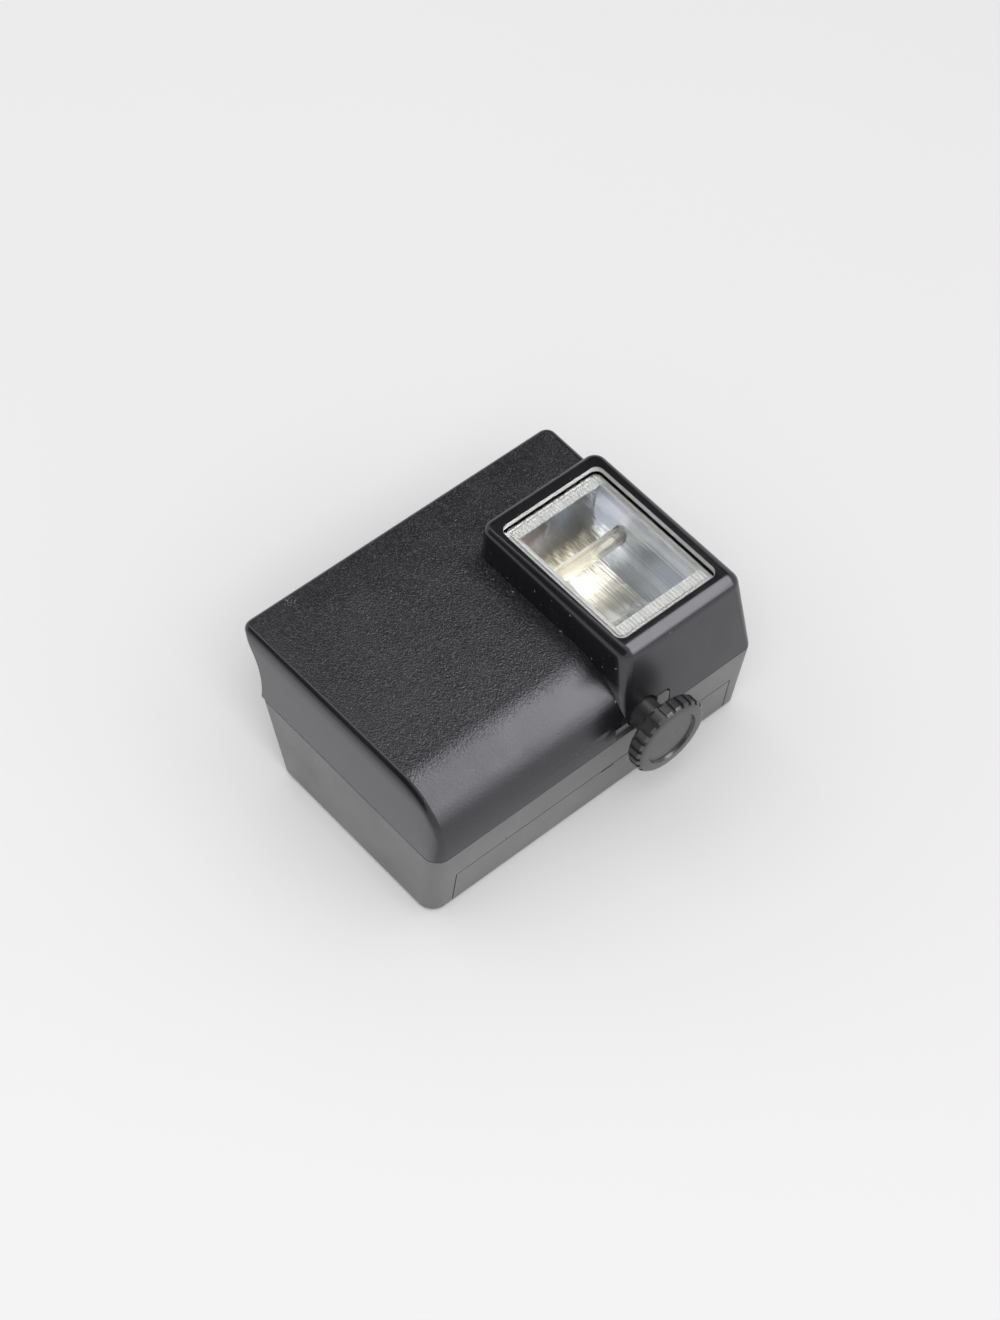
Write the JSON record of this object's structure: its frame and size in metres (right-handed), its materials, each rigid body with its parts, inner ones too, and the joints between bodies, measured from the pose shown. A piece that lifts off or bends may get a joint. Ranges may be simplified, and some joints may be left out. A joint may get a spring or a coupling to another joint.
{
  "type": "clip-on electronic flash",
  "caption": "Small black clip-on electronic flash with a ribbed window in a raised head, a side thumb screw that fixes it to a compact camera, and a hinged battery door.",
  "frame": {"origin": "on the flat back of the case, midway along its length", "axes": "+Z out of the front, the way the flash fires; +Y along the case toward the flash head; +X toward the thumb screw knob"},
  "size_m": [0.0537, 0.0656, 0.034],
  "materials": {
    "front_case": "grained matte black",
    "rear_case": "smooth satin black",
    "knob_black": "satin black",
    "clear_lens": "clear, ribbed inside",
    "mirror_metal": "bright rolled",
    "tube_glass": "clear",
    "steel": "bright plated",
    "spring_steel": "dark plated",
    "brass": "turned",
    "gold_contact": "plated",
    "boot_rubber": "soft cream",
    "bung_rubber": "dark",
    "washer_nylon": "natural",
    "block_phenolic": "dark",
    "board": "brown laminate",
    "sleeve": "shrink sleeve",
    "ferrite": "grey sintered",
    "winding": "enamelled copper",
    "coil_coat": "dipped",
    "epoxy_black": "moulded",
    "film_coat": "dipped",
    "resistor_coat": "coated",
    "switch_plastic": "satin dark grey",
    "switch_can": "tinned",
    "amber_lens": "clear amber",
    "cell_jacket": "printed jacket without print"
  },
  "bodies": {
    "housing": {"front_cover": "front_case", "rear_cover": "rear_case", "door_pins": "steel", "flash_window": "clear_lens", "reflector": "mirror_metal", "flash_tube": "tube_glass", "tube_caps": "steel", "tube_boots": "boot_rubber", "screw_bush": "brass", "contact_plate": "block_phenolic", "contact_pins": "gold_contact", "circuit_board": "board", "main_capacitor": "sleeve", "capacitor_bung": "bung_rubber", "transformer_core": "ferrite", "transformer_winding": "winding", "trigger_coil": "coil_coat", "oscillator_transistor": "epoxy_black", "trigger_capacitor": "film_coat", "charge_resistors": "resistor_coat", "switch_body": "switch_can", "switch_terminals": "gold_contact", "lamp_lens": "amber_lens", "neon_lamp": "tube_glass", "neon_electrodes": "steel", "battery_cell": "cell_jacket", "cell_cap": "steel", "battery_spring": "steel", "minus_plate": "steel", "plus_contact": "steel", "case_screws": "spring_steel"},
    "door": {"battery_door": "rear_case"},
    "float": {"thrust_washer": "washer_nylon"},
    "screw": {"lock_screw": "steel", "thumb_knob": "knob_black", "retaining_clip": "spring_steel"},
    "switch": {"switch_button": "switch_plastic"}
  },
  "joints": [
    {"name": "door_hinge", "type": "hinge", "parent": "housing", "child": "door", "pos_m": [0.0048, 0.0011, 0.00135], "axis": [0, 1, 0], "range_deg": [0, 90]},
    {"name": "screw_float", "type": "slide", "parent": "housing", "child": "float", "axis": [-1, 0, 0], "range_m": [0, 0.0027]},
    {"name": "screw_turn", "type": "hinge", "parent": "float", "child": "screw", "pos_m": [0, 0.0096, 0.0182], "axis": [-1, 0, 0], "continuous": true},
    {"name": "switch_slide", "type": "slide", "parent": "housing", "child": "switch", "axis": [0, 1, 0], "range_m": [0, 0.0026]}
  ]
}
